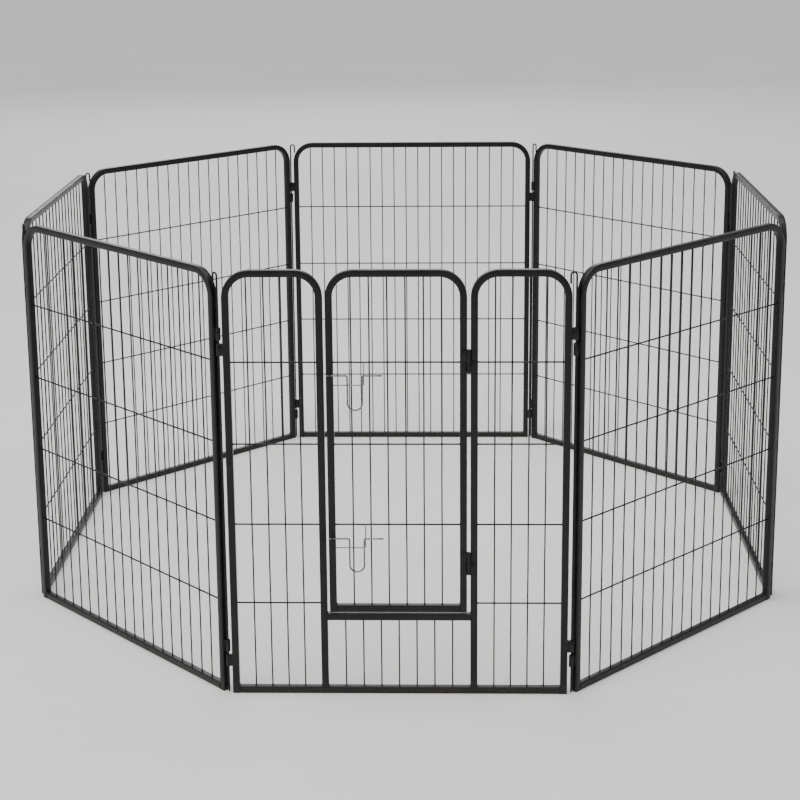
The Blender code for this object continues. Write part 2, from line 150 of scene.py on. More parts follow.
class PlaypenSizes(bpy.types.PropertyGroup):
    """Sizes of the drawn pieces that the frame leaves open"""

    tube_edge: length_setting("Tube edge", "Radius of the square tube's own edges", 0.0022)
    bend: length_setting("Corner bend", "Outside radius of the bent top corners", 0.062)
    upright: length_setting("Upright wire", "Diameter of the upright mesh wires", 0.0034)
    cross: length_setting("Cross wire", "Diameter of the level mesh wires", 0.0038)
    bead: length_setting("Weld bead", "Width of a weld bead on the tubes", 0.0026)
    lug_height: length_setting("Lug height", "Height of a hinge lug's barrel", 0.028)
    lug_radius: length_setting("Lug radius", "Outside radius of a lug's barrel", 0.0052)
    lug_bore: length_setting("Lug bore", "Radius of the hole the rod runs in", 0.00325)
    wander: length_setting("Wire wander", "How far a mesh wire strays from straight", 0.0004)


class PlaypenFinish(bpy.types.PropertyGroup):
    """Colours of the finishes"""

    coat: colour_setting("Powder coat", "Black powder coat on the tubes", "100F11")
    coat_thin: colour_setting("Thin coat", "The coat where it went on thin", "191716")
    rub: colour_setting("Rub", "The coat where another panel has rubbed it", "4A4846")
    wire: colour_setting("Wire coat", "Black coat on the mesh wires", "0E0D0F")
    rod: colour_setting("Rod coat", "Black coat on the corner rods", "121113")
    zinc: colour_setting("Zinc", "Zinc plating on the latch wires", "83858A")
    zinc_dull: colour_setting("Dull zinc", "Zinc that has gone dull", "47494C")
    dust: colour_setting("Dust", "Dry dust near the ground", "6E675C")
    floor: colour_setting("Floor", "Plain studio floor", "E9E7E3")


def sizes():
    return bpy.context.scene.playpen_sizes


def finish():
    return bpy.context.scene.playpen_finish


# ---- materials ----------------------------------------------------------------
def per_metre(millimetres):
    """The noise scale that draws features of this size."""
    return 1000 / millimetres


def add(tree, kind, inputs=(), **settings):
    """Add a node, set it up, and link or fill its inputs."""
    node = tree.nodes.new(kind)
    for key, value in settings.items():
        setattr(node, key, value)
    for key, value in dict(inputs).items():
        if isinstance(value, bpy.types.NodeSocket):
            tree.links.new(value, node.inputs[key])
        else:
            node.inputs[key].default_value = value
    return node


def new_material(name):
    material = bpy.data.materials.new(name)
    material.use_nodes = True
    tree = material.node_tree
    return material, tree, tree.nodes["Principled BSDF"]


def opaque(colour):
    return (*colour, 1.0)


def part_of(value, lowest, highest, to_low=0.0, to_high=1.0):
    """Settings that stretch part of a value's range over another range."""
    return {
        "Value": value, "From Min": lowest, "From Max": highest,
        "To Min": to_low, "To Max": to_high,
    }


def coated_steel(name, colour, thin_colour, peel_mm, peel_depth, roughness):
    """Polyester powder, sprayed on steel and baked.

    To the eye it is near-black and glossy. An orange-peel skin breaks up the edge
    of each highlight, the film is browner where it is thin, knocks leave small
    grey rubs, and dry dust clings near the ground.
    """
    material, tree, shader = new_material(name)
    place = add(tree, "ShaderNodeTexCoord").outputs["Object"]
    colour_mix = {"kind": "ShaderNodeMix", "data_type": "RGBA"}

    # The film's thickness drifts over a hand's breadth.
    drift = {"Vector": place, "Scale": per_metre(70), "Detail": 3.0}
    film = add(tree, "ShaderNodeTexNoise", drift).outputs["Fac"]
    film = add(tree, "ShaderNodeMapRange", part_of(film, 0.35, 0.7)).outputs["Result"]
    layers = {0: film, 6: opaque(colour), 7: opaque(thin_colour)}
    shade = add(tree, inputs=layers, **colour_mix).outputs[2]

    # Rubs and specks where panels have knocked together, a few millimetres long.
    knocks = {"Vector": place, "Scale": per_metre(9), "Detail": 6.0}
    rub = add(tree, "ShaderNodeTexNoise", knocks).outputs["Fac"]
    rub = add(tree, "ShaderNodeMapRange", part_of(rub, 0.66, 0.78, 0.0, 0.3)).outputs["Result"]
    layers = {0: rub, 6: shade, 7: opaque(tuple(finish().rub))}
    shade = add(tree, inputs=layers, **colour_mix).outputs[2]

    # Dry dust clings to the lowest 40 mm, where the pen stands on the ground.
    height = add(tree, "ShaderNodeSeparateXYZ", {"Vector": place}).outputs["Z"]
    near = add(tree, "ShaderNodeMapRange", part_of(height, 0.0, 0.04, 0.3, 0.0)).outputs["Result"]
    grains = {"Vector": place, "Scale": per_metre(4), "Detail": 5.0}
    grit = add(tree, "ShaderNodeTexNoise", grains).outputs["Fac"]
    grit = add(tree, "ShaderNodeMapRange", part_of(grit, 0.42, 0.75)).outputs["Result"]
    dusty = add(tree, "ShaderNodeMath", {0: near, 1: grit}, operation="MULTIPLY").outputs[0]
    layers = {0: dusty, 6: shade, 7: opaque(tuple(finish().dust))}
    shade = add(tree, inputs=layers, **colour_mix).outputs[2]
    tree.links.new(shade, shader.inputs["Base Color"])

    # Gloss varies with the film; rubs and dust are duller than the film round them.
    sheen = {"Vector": place, "Scale": per_metre(45), "Detail": 3.0}
    gloss = add(tree, "ShaderNodeTexNoise", sheen).outputs["Fac"]
    levels = part_of(gloss, 0.3, 0.7, roughness - 0.05, roughness + 0.06)
    gloss = add(tree, "ShaderNodeMapRange", levels).outputs["Result"]
    duller = {0: rub, 1: 0.5, 2: gloss}
    gloss = add(tree, "ShaderNodeMath", duller, operation="MULTIPLY_ADD").outputs[0]
    gloss = add(tree, "ShaderNodeMath", {0: dusty, 1: gloss}, operation="ADD").outputs[0]
    tree.links.new(gloss, shader.inputs["Roughness"])

    # Orange peel is about a millimetre across; it is drawn coarser so that it shows.
    skin = {"Vector": place, "Scale": per_metre(peel_mm), "Detail": 1.0}
    peel = add(tree, "ShaderNodeTexNoise", skin).outputs["Fac"]
    relief = {"Height": peel, "Strength": 0.35, "Distance": peel_depth / 1000}
    bump = add(tree, "ShaderNodeBump", relief).outputs["Normal"]
    tree.links.new(bump, shader.inputs["Normal"])
    shader.inputs["IOR"].default_value = 1.5
    shader.inputs["Specular IOR Level"].default_value = 0.26
    return material


def zinc_wire():
    """Zinc plating on drawn wire, rolled bright and passivated.

    To the eye it is a soft grey metal, streaked along the wire and clouded
    where the plating has gone dull.
    """
    material, tree, shader = new_material("zinc_plated_wire")
    place = add(tree, "ShaderNodeTexCoord").outputs["Object"]
    clouds = {"Vector": place, "Scale": per_metre(12), "Detail": 4.0}
    cloud = add(tree, "ShaderNodeTexNoise", clouds).outputs["Fac"]
    cloud = add(tree, "ShaderNodeMapRange", part_of(cloud, 0.35, 0.68)).outputs["Result"]
    bright, dull = opaque(tuple(finish().zinc)), opaque(tuple(finish().zinc_dull))
    layers = {0: cloud, 6: bright, 7: dull}
    shade = add(tree, "ShaderNodeMix", layers, data_type="RGBA").outputs[2]
    tree.links.new(shade, shader.inputs["Base Color"])

    gloss = part_of(cloud, 0.0, 1.0, 0.26, 0.45)
    gloss = add(tree, "ShaderNodeMapRange", gloss).outputs["Result"]
    tree.links.new(gloss, shader.inputs["Roughness"])

    # Marks of the drawing die run along the wire, finer than this; it is drawn
    # near a millimetre so that it shows.
    marks = {"Vector": place, "Scale": per_metre(0.9), "Detail": 2.0}
    marks = add(tree, "ShaderNodeTexNoise", marks).outputs["Fac"]
    relief = {"Height": marks, "Strength": 0.2, "Distance": 0.0001}
    bump = add(tree, "ShaderNodeBump", relief).outputs["Normal"]
    tree.links.new(bump, shader.inputs["Normal"])
    shader.inputs["Metallic"].default_value = 1.0
    return material


def floor_paint():
    """Matt floor paint, rolled on: pale, even and without shine, with a faint mottle."""
    material, tree, shader = new_material("matt_floor_paint")
    place = add(tree, "ShaderNodeTexCoord").outputs["Object"]
    patches = {"Vector": place, "Scale": per_metre(900), "Detail": 3.0}
    mottle = add(tree, "ShaderNodeTexNoise", patches).outputs["Fac"]
    mottle = add(tree, "ShaderNodeMapRange", part_of(mottle, 0.3, 0.7)).outputs["Result"]
    pale = tuple(finish().floor)
    layers = {0: mottle, 6: opaque(pale), 7: opaque(0.97 * c for c in pale)}
    shade = add(tree, "ShaderNodeMix", layers, data_type="RGBA").outputs[2]
    tree.links.new(shade, shader.inputs["Base Color"])
    shader.inputs["Roughness"].default_value = 0.8
    return material


MATERIALS = {}


def make_materials():
    look = finish()
    coat, thin = tuple(look.coat), tuple(look.coat_thin)
    wire_coat, rod_coat = tuple(look.wire), tuple(look.rod)
    MATERIALS["tube"] = coated_steel(
        "powder_coated_tube", coat, thin, peel_mm=2.6, peel_depth=0.30, roughness=0.28
    )
    MATERIALS["mesh_wire"] = coated_steel(
        "powder_coated_wire", wire_coat, thin, peel_mm=1.6, peel_depth=0.12, roughness=0.27
    )
    MATERIALS["rod"] = coated_steel(
        "powder_coated_rod", rod_coat, thin, peel_mm=3.0, peel_depth=0.08, roughness=0.2
    )
    MATERIALS["latch_wire"] = zinc_wire()
    MATERIALS["floor"] = floor_paint()


# ---- mesh building ------------------------------------------------------------
def circle(radius, sides):
    return [
        (radius * math.cos(math.tau * i / sides), radius * math.sin(math.tau * i / sides))
        for i in range(sides)
    ]


def rounded_square(side, edge, steps=3):
    """The outline of a square with rounded edges."""
    reach = side / 2 - edge
    outline = []
    for quarter in range(4):
        corner = math.pi / 4 + math.pi / 2 * quarter
        cx = reach * math.copysign(1, math.cos(corner))
        cy = reach * math.copysign(1, math.sin(corner))
        for i in range(steps + 1):
            angle = math.pi / 2 * (quarter + i / steps)
            outline.append((cx + edge * math.cos(angle), cy + edge * math.sin(angle)))
    return outline


def sweep(work, path, profile, across=(0, 1, 0), scales=None, closed=False):
    """Draw a profile along a path and cap its ends."""
    points, depth = [Vector(p) for p in path], Vector(across)
    count, rings = len(points), []
    for i, point in enumerate(points):
        before = points[i - 1] if closed or i > 0 else point
        after = points[(i + 1) % count] if closed or i < count - 1 else point
        heading = (after - before).normalized()
        depth = (depth - heading * depth.dot(heading)).normalized()
        wide = depth.cross(heading)
        a, b = scales[i] if scales else (1.0, 1.0)
        rings.append([work.verts.new(point + wide * x * a + depth * y * b) for x, y in profile])
    sides = len(profile)
    pairs = list(zip(rings, rings[1:])) + ([(rings[-1], rings[0])] if closed else [])
    for first, second in pairs:
        for k in range(sides):
            m = (k + 1) % sides
            work.faces.new((first[k], first[m], second[m], second[k]))
    if not closed:
        work.faces.new(rings[0])
        work.faces.new(rings[-1])


def wire(work, path, radius, sides=12, tip=0.6, across=(0, 1, 0)):
    """A round wire along a path, with its two ends rounded off."""
    points = [Vector(p) for p in path]
    first = (points[0] - points[1]).normalized() * radius * tip
    last = (points[-1] - points[-2]).normalized() * radius * tip
    middle_part = [points[0] - first] + points[1:-1] + [points[-1] - last]
    head = [points[0], points[0] - first * 0.3]
    tail = [points[-1] - last * 0.3, points[-1]]
    crown, shoulder = (0.45, 0.45), (0.8, 0.8)
    scales = [crown, shoulder] + [(1, 1)] * len(middle_part) + [shoulder, crown]
    sweep(work, head + middle_part + tail, circle(radius, sides), across, scales)


def turned(work, rings):
    """Join rings of equal numbers of points into one closed, ring-shaped body."""
    made = [[work.verts.new(p) for p in ring] for ring in rings]
    for first, second in zip(made, made[1:] + made[:1]):
        for k in range(len(first)):
            m = (k + 1) % len(first)
            work.faces.new((first[k], first[m], second[m], second[k]))


def spot(work, centre, radii, fine=1):
    """A weld spot: a small flattened drop."""
    scale = Matrix.Diagonal((*radii, 1.0))
    bmesh.ops.create_icosphere(
        work, subdivisions=fine + 1, radius=1.0, matrix=Matrix.Translation(centre) @ scale
    )


def bead(work, path, width, closed=False, across=(0, 1, 0)):
    """A weld bead, rippled along its length."""
    points = []
    corners = [Vector(p) for p in path] + ([Vector(path[0])] if closed else [])
    for start, stop in zip(corners, corners[1:]):
        steps = max(1, round((stop - start).length / BEAD_RIPPLE))
        points += [start.lerp(stop, i / steps) for i in range(steps)]
    if not closed:
        points.append(corners[-1])
    waist, swell = 0.82, 0.18
    widths = [waist + swell * (i % 2) for i in range(len(points))]
    sweep(work, points, circle(width / 2, 8), across, [(w, w) for w in widths], closed)


def plate(work, low_corner, high_corner, edge):
    """A flat plate with its edges eased."""
    lowest, highest = Vector(low_corner), Vector(high_corner)
    scale = Matrix.Diagonal((*(highest - lowest), 1.0))
    made = bmesh.ops.create_cube(
        work, size=1.0, matrix=Matrix.Translation((lowest + highest) / 2) @ scale
    )
    edges = {e for v in made["verts"] for e in v.link_edges}
    bmesh.ops.bevel(
        work, geom=list(edges), offset=edge, segments=2, profile=0.5, affect="EDGES",
        clamp_overlap=True,
    )


def arc(centre, radius, start, stop, steps):
    """Points on a circle in the panel's plane, angles in degrees from +x."""
    cx, y, cz = centre
    angles = [math.radians(start + (stop - start) * i / steps) for i in range(steps + 1)]
    return [Vector((cx + radius * math.cos(a), y, cz + radius * math.sin(a))) for a in angles]


def rounded_path(corners, radius, steps=6):
    """A path through corner points, with each inner corner rounded off."""
    path = [Vector(corners[0])]
    for before, corner, after in zip(corners, corners[1:], corners[2:]):
        corner = Vector(corner)
        start = corner + (Vector(before) - corner).normalized() * radius
        stop = corner + (Vector(after) - corner).normalized() * radius
        for i in range(steps + 1):
            t = i / steps
            path.append(start.lerp(corner, t).lerp(corner.lerp(stop, t), t))
    return path + [Vector(corners[-1])]


def panel_matrix(index):
    """From a panel's own frame to the pen's."""
    turn = Matrix.Rotation(STEP_ANGLE * index, 4, "Z")
    return turn @ Matrix.Translation((0.0, -APOTHEM, 0.0))


def add_piece(name, work, slot, body, nodes=(), index=0):
    """Make an object of a mesh drawn in a panel's frame, and hang it on a body."""
    bmesh.ops.recalc_face_normals(work, faces=work.faces)
    mesh = bpy.data.meshes.new(name)
    work.to_mesh(mesh)
    work.free()
    mesh.shade_smooth()
    mesh.set_sharp_from_angle(angle=SHARP_ANGLE)
    mesh.materials.append(MATERIALS[slot])
    piece = bpy.data.objects.new(name, mesh)
    bpy.context.scene.collection.objects.link(piece)
    piece.matrix_world = panel_matrix(index)
    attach(piece, body)
    if nodes:
        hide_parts(*nodes)
    return piece


# ---- frames, rails, lugs and mesh ---------------------------------------------
def bent_frame(work, left, right, left_foot, right_foot):
    """A square tube bent into an upside-down U.

    Bending draws the tube's outer wall in and lets its sides swell a little.
    """
    half, bend, steps = TUBE / 2, sizes().bend - TUBE / 2, 14
    drawn_in, swollen = 0.035, 0.018
    left_centre = (left + sizes().bend, 0.0, HEIGHT - sizes().bend)
    right_centre = (right - sizes().bend, 0.0, HEIGHT - sizes().bend)
    bends = [arc(left_centre, bend, 180, 90, steps), arc(right_centre, bend, 90, 0, steps)]
    path, scales = [Vector((left + half, 0.0, left_foot))], [(1.0, 1.0)]
    for run in bends:
        for i, point in enumerate(run):
            strain = math.sin(math.pi * i / steps) ** 0.5 if 0 < i < steps else 0.0
            path.append(point)
            scales.append((1 - drawn_in * strain, 1 + swollen * strain))
    path.append(Vector((right - half, 0.0, right_foot)))
    scales.append((1.0, 1.0))
    sweep(work, path, rounded_square(TUBE, sizes().tube_edge), scales=scales)


def straight_rail(work, left, right, bottom):
    z = bottom + TUBE / 2
    path = [(left, 0.0, z), (right, 0.0, z)]
    sweep(work, path, rounded_square(TUBE, sizes().tube_edge))


def butt_weld(work, x, z):
    """The bead round a rail's end where it meets a post's side, flush underneath."""
    outline = rounded_square(TUBE + BEAD_MARGIN, sizes().tube_edge)
    flush = (sizes().bead - TUBE) / 2
    loop = [(x, a, z + max(b, flush)) for a, b in outline]
    bead(work, loop, sizes().bead, closed=True, across=(1, 0, 0))


def foot_weld(work, x, z):
    """The bead round a post's foot where it stands on a rail."""
    outline = rounded_square(TUBE + BEAD_MARGIN, sizes().tube_edge)
    loop = [(x + a, b, z) for a, b in outline]
    bead(work, loop, sizes().bead, closed=True, across=(0, 0, 1))


def lug(work, side, height):
    """A lug of strip steel, wrapped round the rod's line and welded to a post."""
    rod_x, post_x = side * ROD_X, side * HALF_WIDTH
    outer, bore, half = sizes().lug_radius, sizes().lug_bore, sizes().lug_height / 2
    gap, steps = abs(rod_x - post_x), 20
    turns = [LUG_WRAP * (2 * i / steps - 1) for i in range(steps + 1)]
    outline = [(outer * math.cos(a), outer * math.sin(a)) for a in turns]
    outline += [(-gap, LUG_NECK), (-gap, 0.0), (-gap, -LUG_NECK)]
    angles = [math.atan2(y, x) for x, y in outline]
    hole = [(bore * math.cos(a), bore * math.sin(a)) for a in angles]

    def level(points, z, keep=1.0):
        return [Vector((rod_x + side * x * keep, y * keep, z)) for x, y in points]

    low_z, high_z, narrowed = height - half, height + half, 0.90
    low_side, high_side = low_z + LUG_EASED, high_z - LUG_EASED
    turned(
        work,
        [
            level(hole, low_z + LUG_EASED / 2),
            level(outline, low_z, narrowed),
            level(outline, low_side),
            level(outline, high_side),
            level(outline, high_z, narrowed),
            level(hole, high_z - LUG_EASED / 2),
        ],
    )
    for face in (-1, 1):
        ends = [(post_x, face * LUG_NECK, low_side), (post_x, face * LUG_NECK, high_side)]
        bead(work, ends, sizes().bead * 1.1)


def lug_pair(work, side):
    for height in RIGHT_LUGS if side > 0 else LEFT_LUGS:
        lug(work, side, height)


def gap_count(left, right):
    """How many gaps the upright wires leave between two posts."""
    return math.ceil((right - left) / GRID_PITCH - PITCH_SLACK)


def end_spot(work, x, z, radius):
    """The weld where an upright wire's end meets a rail."""
    spot(work, (x, 0.0, z), (radius * 1.5, radius * 1.4, radius * 0.8))


def mesh_wires(work, left, right, bottom, heights, seed):
    """Welded wire mesh: uprights outside, cross wires inside, spots where they meet."""
    draw = random.Random(seed)
    gaps = gap_count(left, right)
    pitch = (right - left) / gaps
    r_up, r_cross = sizes().upright / 2, sizes().cross / 2
    cross_y = r_up + r_cross - WELD_SINK
    bend, stray = sizes().bend - TUBE, sizes().wander
    levels = [bottom, *heights]
    for i in range(1, gaps):
        x = left + pitch * i
        into_bend = max(bend - min(x - left, right - x), 0.0)
        top = HEIGHT - TUBE - bend + math.sqrt(bend**2 - into_bend**2)
        path = [Vector((x, 0.0, bottom))]
        for start, stop in zip(levels, levels[1:] + [top]):
            sway, push = draw.uniform(-stray, stray), draw.uniform(-stray, stray) / 2
            path.append(Vector((x + sway, push, (start + stop) / 2)))
            path.append(Vector((x, 0.0, stop)))
        wire(work, path, r_up, sides=10, across=(1, 0, 0))
        for z in heights:
            flat_drop = (r_up * 1.35, r_up * 0.62, r_cross * 1.3)
            spot(work, (x, r_up - WELD_SINK / 2, z), flat_drop)
        for z in (bottom, top):
            end_spot(work, x, z, r_up)
    for z in heights:
        path = [Vector((left, cross_y, z))]
        for i in range(1, gaps):
            path.append(Vector((left + pitch * i, cross_y, z)))
            if i < gaps - 1:
                sag = draw.uniform(-stray, stray) / 2
                path.append(Vector((left + pitch * (i + 0.5), cross_y + sag, z + sag)))
        wire(work, path + [Vector((right, cross_y, z))], r_cross, sides=10)
        for x in (left, right):
            spot(work, (x, cross_y, z), (r_cross * 0.8, r_cross * 1.4, r_cross * 1.5))


def rail_between(work, left, right, bottom):
    """A straight rail and the welds at its two ends."""
    straight_rail(work, left, right, bottom)
    for x in (left, right):
        butt_weld(work, x, bottom + TUBE / 2)


# ---- operators: one for each piece or group of like pieces ----------------------
class PLAYPEN_OT_plain_frames(bpy.types.Operator):
    """Bend and weld the frames of the seven plain panels"""

    bl_idname = "playpen.plain_frames"
    bl_label = "Plain Panel Frames"

    def execute(self, context):
        inner = HALF_WIDTH - TUBE
        for index, name in enumerate(PANELS[1:], 1):
            work = bmesh.new()
            bent_frame(work, -HALF_WIDTH, HALF_WIDTH, 0.0, 0.0)
            lug_pair(work, -1)
            lug_pair(work, 1)
            add_piece(f"{name}_bent_frame", work, "tube", name, [f"{name}_frame"], index)
            work = bmesh.new()
            rail_between(work, -inner, inner, 0.0)
            nodes = [f"{name}_bottom_rail"]
            add_piece(f"{name}_welded_rail", work, "tube", name, nodes, index)
        return {"FINISHED"}


class PLAYPEN_OT_plain_meshes(bpy.types.Operator):
    """Weld the wire mesh of the seven plain panels"""

    bl_idname = "playpen.plain_meshes"
    bl_label = "Plain Panel Meshes"

    def execute(self, context):
        inner = HALF_WIDTH - TUBE
        for index, name in enumerate(PANELS[1:], 1):
            work = bmesh.new()
            mesh_wires(work, -inner, inner, TUBE, CROSS_HEIGHTS, index)
            nodes = [f"{name}_wire_mesh"]
            add_piece(f"{name}_round_wires", work, "mesh_wire", name, nodes, index)
        return {"FINISHED"}


class PLAYPEN_OT_gate_frames(bpy.types.Operator):
    """Build the gate panel's two frames, bottom rail and sill"""

    bl_idname = "playpen.gate_frames"
    bl_label = "Gate Panel Frames"

    def execute(self, context):
        for label, left, right, side in (
            ("left", -HALF_WIDTH, SIDE_LEFT, -1),
            ("right", SIDE_RIGHT, HALF_WIDTH, 1),
        ):
            work = bmesh.new()
            self.side_frame(work, left, right, side)
            name = f"gate_{label}_bent_frame"
            add_piece(name, work, "tube", "gate_panel", [f"gate_{label}_frame"])
        work = bmesh.new()
        rail_between(work, -HALF_WIDTH + TUBE, HALF_WIDTH - TUBE, 0.0)
        add_piece("gate_welded_rail", work, "tube", "gate_panel", ["gate_bottom_rail"])
        work = bmesh.new()
        rail_between(work, SIDE_LEFT, SIDE_RIGHT, SILL_FOOT)
        self.sill_wires(work)
        add_piece("gate_welded_sill", work, "tube", "gate_panel", ["gate_sill_rail"])
        return {"FINISHED"}

    def side_frame(self, work, left, right, side):
        """A narrow frame whose inner post stands on the bottom rail."""
        feet = (0.0, TUBE) if side < 0 else (TUBE, 0.0)
        bent_frame(work, left, right, *feet)
        lug_pair(work, side)
        foot_weld(work, right - TUBE / 2 if side < 0 else left + TUBE / 2, TUBE)

    def sill_wires(self, work):
        gaps = gap_count(SIDE_LEFT + FIT, SIDE_RIGHT - FIT)
        pitch = (SIDE_RIGHT - SIDE_LEFT) / gaps
        radius = sizes().upright / 2
        for i in range(1, gaps):
            x = SIDE_LEFT + pitch * i
            wire(work, [(x, 0.0, TUBE), (x, 0.0, SILL_FOOT)], radius, across=(1, 0, 0))
            for z in (TUBE, SILL_FOOT):
                end_spot(work, x, z, radius)


class PLAYPEN_OT_gate_meshes(bpy.types.Operator):
    """Weld the two narrow wire meshes beside the door"""

    bl_idname = "playpen.gate_meshes"
    bl_label = "Gate Panel Meshes"

    def execute(self, context):
        for seed, label, left, right in (
            (11, "left", -HALF_WIDTH + TUBE, SIDE_LEFT - TUBE),
            (12, "right", SIDE_RIGHT + TUBE, HALF_WIDTH - TUBE),
        ):
            work = bmesh.new()
            mesh_wires(work, left, right, TUBE, CROSS_HEIGHTS, seed)
            nodes = [f"gate_{label}_wire_mesh"]
            add_piece(f"gate_{label}_round_wires", work, "mesh_wire", "gate_panel", nodes)
        return {"FINISHED"}


class PLAYPEN_OT_rods(bpy.types.Operator):
    """Bend the eight hooked corner rods"""

    bl_idname = "playpen.rods"
    bl_label = "Corner Rods"

    def execute(self, context):
        radius = HOOK_SPAN / 2
        foot, top = low("gate_panel_rod").z, high("gate_panel_rod").z
        bend_z = top - ROD_RADIUS - radius
        hook = arc((ROD_X - radius, 0.0, bend_z), radius, 0, 180, 16)
        path = [Vector((ROD_X, 0.0, foot)), *hook, Vector((ROD_X - HOOK_SPAN, 0.0, HOOK_END))]
        for index, name in enumerate(PANELS):
            work = bmesh.new()
            wire(work, path, ROD_RADIUS, sides=20, tip=0.5)
            add_piece(f"{name}_hooked_rod", work, "rod", f"{name}_rod", [f"{name}_rod"], index)
        return {"FINISHED"}


class PLAYPEN_OT_door(bpy.types.Operator):
    """Build the door's frame, rail and wire mesh"""

    bl_idname = "playpen.door"
    bl_label = "Door"

    def execute(self, context):
        left, right = DOOR_LEFT + TUBE, DOOR_RIGHT - TUBE
        work = bmesh.new()
        bent_frame(work, DOOR_LEFT, DOOR_RIGHT, DOOR_FOOT, DOOR_FOOT)
        add_piece("door_bent_frame", work, "tube", "door", ["door_frame"])
        work = bmesh.new()
        rail_between(work, left, right, DOOR_FOOT)
        add_piece("door_welded_rail", work, "tube", "door", ["door_bottom_rail"])
        work = bmesh.new()
        mesh_wires(work, left, right, DOOR_FOOT + TUBE, CROSS_HEIGHTS[1:], 13)
        add_piece("door_round_wires", work, "mesh_wire", "door", ["door_wire_mesh"])
        return {"FINISHED"}


class PLAYPEN_OT_door_hinges(bpy.types.Operator):
    """Build the door's two barrel hinges"""

    bl_idname = "playpen.door_hinges"
    bl_label = "Door Hinges"

    def execute(self, context):
        for label in ("lower", "upper"):
            for owner, side, body in (("post", 1, "gate_panel"), ("door", -1, "door")):
                node = f"{label}_hinge_{owner}_leaf"
                work = bmesh.new()
                self.leaf(work, node, side)
                add_piece(f"{label}_hinge_{owner}_knuckle", work, "tube", body, [node])
            self.pin(label)
        return {"FINISHED"}

    def leaf(self, work, node, side):
        """A leaf welded to a tube's face, rolled into a knuckle round the pin."""
        low_z, high_z = low(node).z, high(node).z
        far_x = self.far_x(node, side)
        outer = size(node).x - abs(far_x - PIN_X)
        bore, eased, count = size("lower_hinge_pin").y / 2 + FIT, 0.0005, 28
        levels = (
            (bore, low_z + eased), (outer - eased, low_z), (outer, low_z + eased),
            (outer, high_z - eased), (outer - eased, high_z), (bore, high_z - eased),
        )
        turned(
            work,
            [
                [Vector((PIN_X + x, PIN_Y + y, z)) for x, y in circle(radius, count)]
                for radius, z in levels
            ],
        )
        face_y, lift, weld_y, bead_inset = -TUBE / 2, 0.0001, -TUBE / 2 - 0.0004, 0.002
        root_x = PIN_X + side * outer * 0.35
        near, far = sorted((root_x, far_x))
        lowest, highest = (near, face_y - LEAF_THICKNESS, low_z), (far, face_y - lift, high_z)
        plate(work, lowest, highest, LEAF_EDGE)
        ends = [(far_x, weld_y, low_z + bead_inset), (far_x, weld_y, high_z - bead_inset)]
        bead(work, ends, sizes().bead)

    def far_x(self, node, side):
        """The leaf's edge that is welded to a post."""
        return high(node).x if side > 0 else low(node).x

    def pin(self, label):
        node = f"{label}_hinge_pin"
        radius = size(node).y / 2
        low_z, high_z = low(node).z, high(node).z
        crown, head, shank = 0.7, 1.45, 1.0
        levels = [
            (low_z, crown), (low_z + PIN_HEAD * 0.5, head),
            (low_z + PIN_HEAD, head), (low_z + PIN_HEAD, shank),
            (high_z - PIN_HEAD, shank), (high_z - PIN_HEAD, head),
            (high_z - PIN_HEAD * 0.5, head), (high_z, crown),
        ]
        # Two levels share a height under each head, so each is a hair above the last.
        hair = 0.00002
        work = bmesh.new()
        path = [(PIN_X, PIN_Y, z + hair * i) for i, (z, _) in enumerate(levels)]
        sweep(work, path, circle(radius, 20), scales=[(k, k) for _, k in levels])
        add_piece(f"{label}_hinge_headed_pin", work, "rod", "gate_panel", [node])


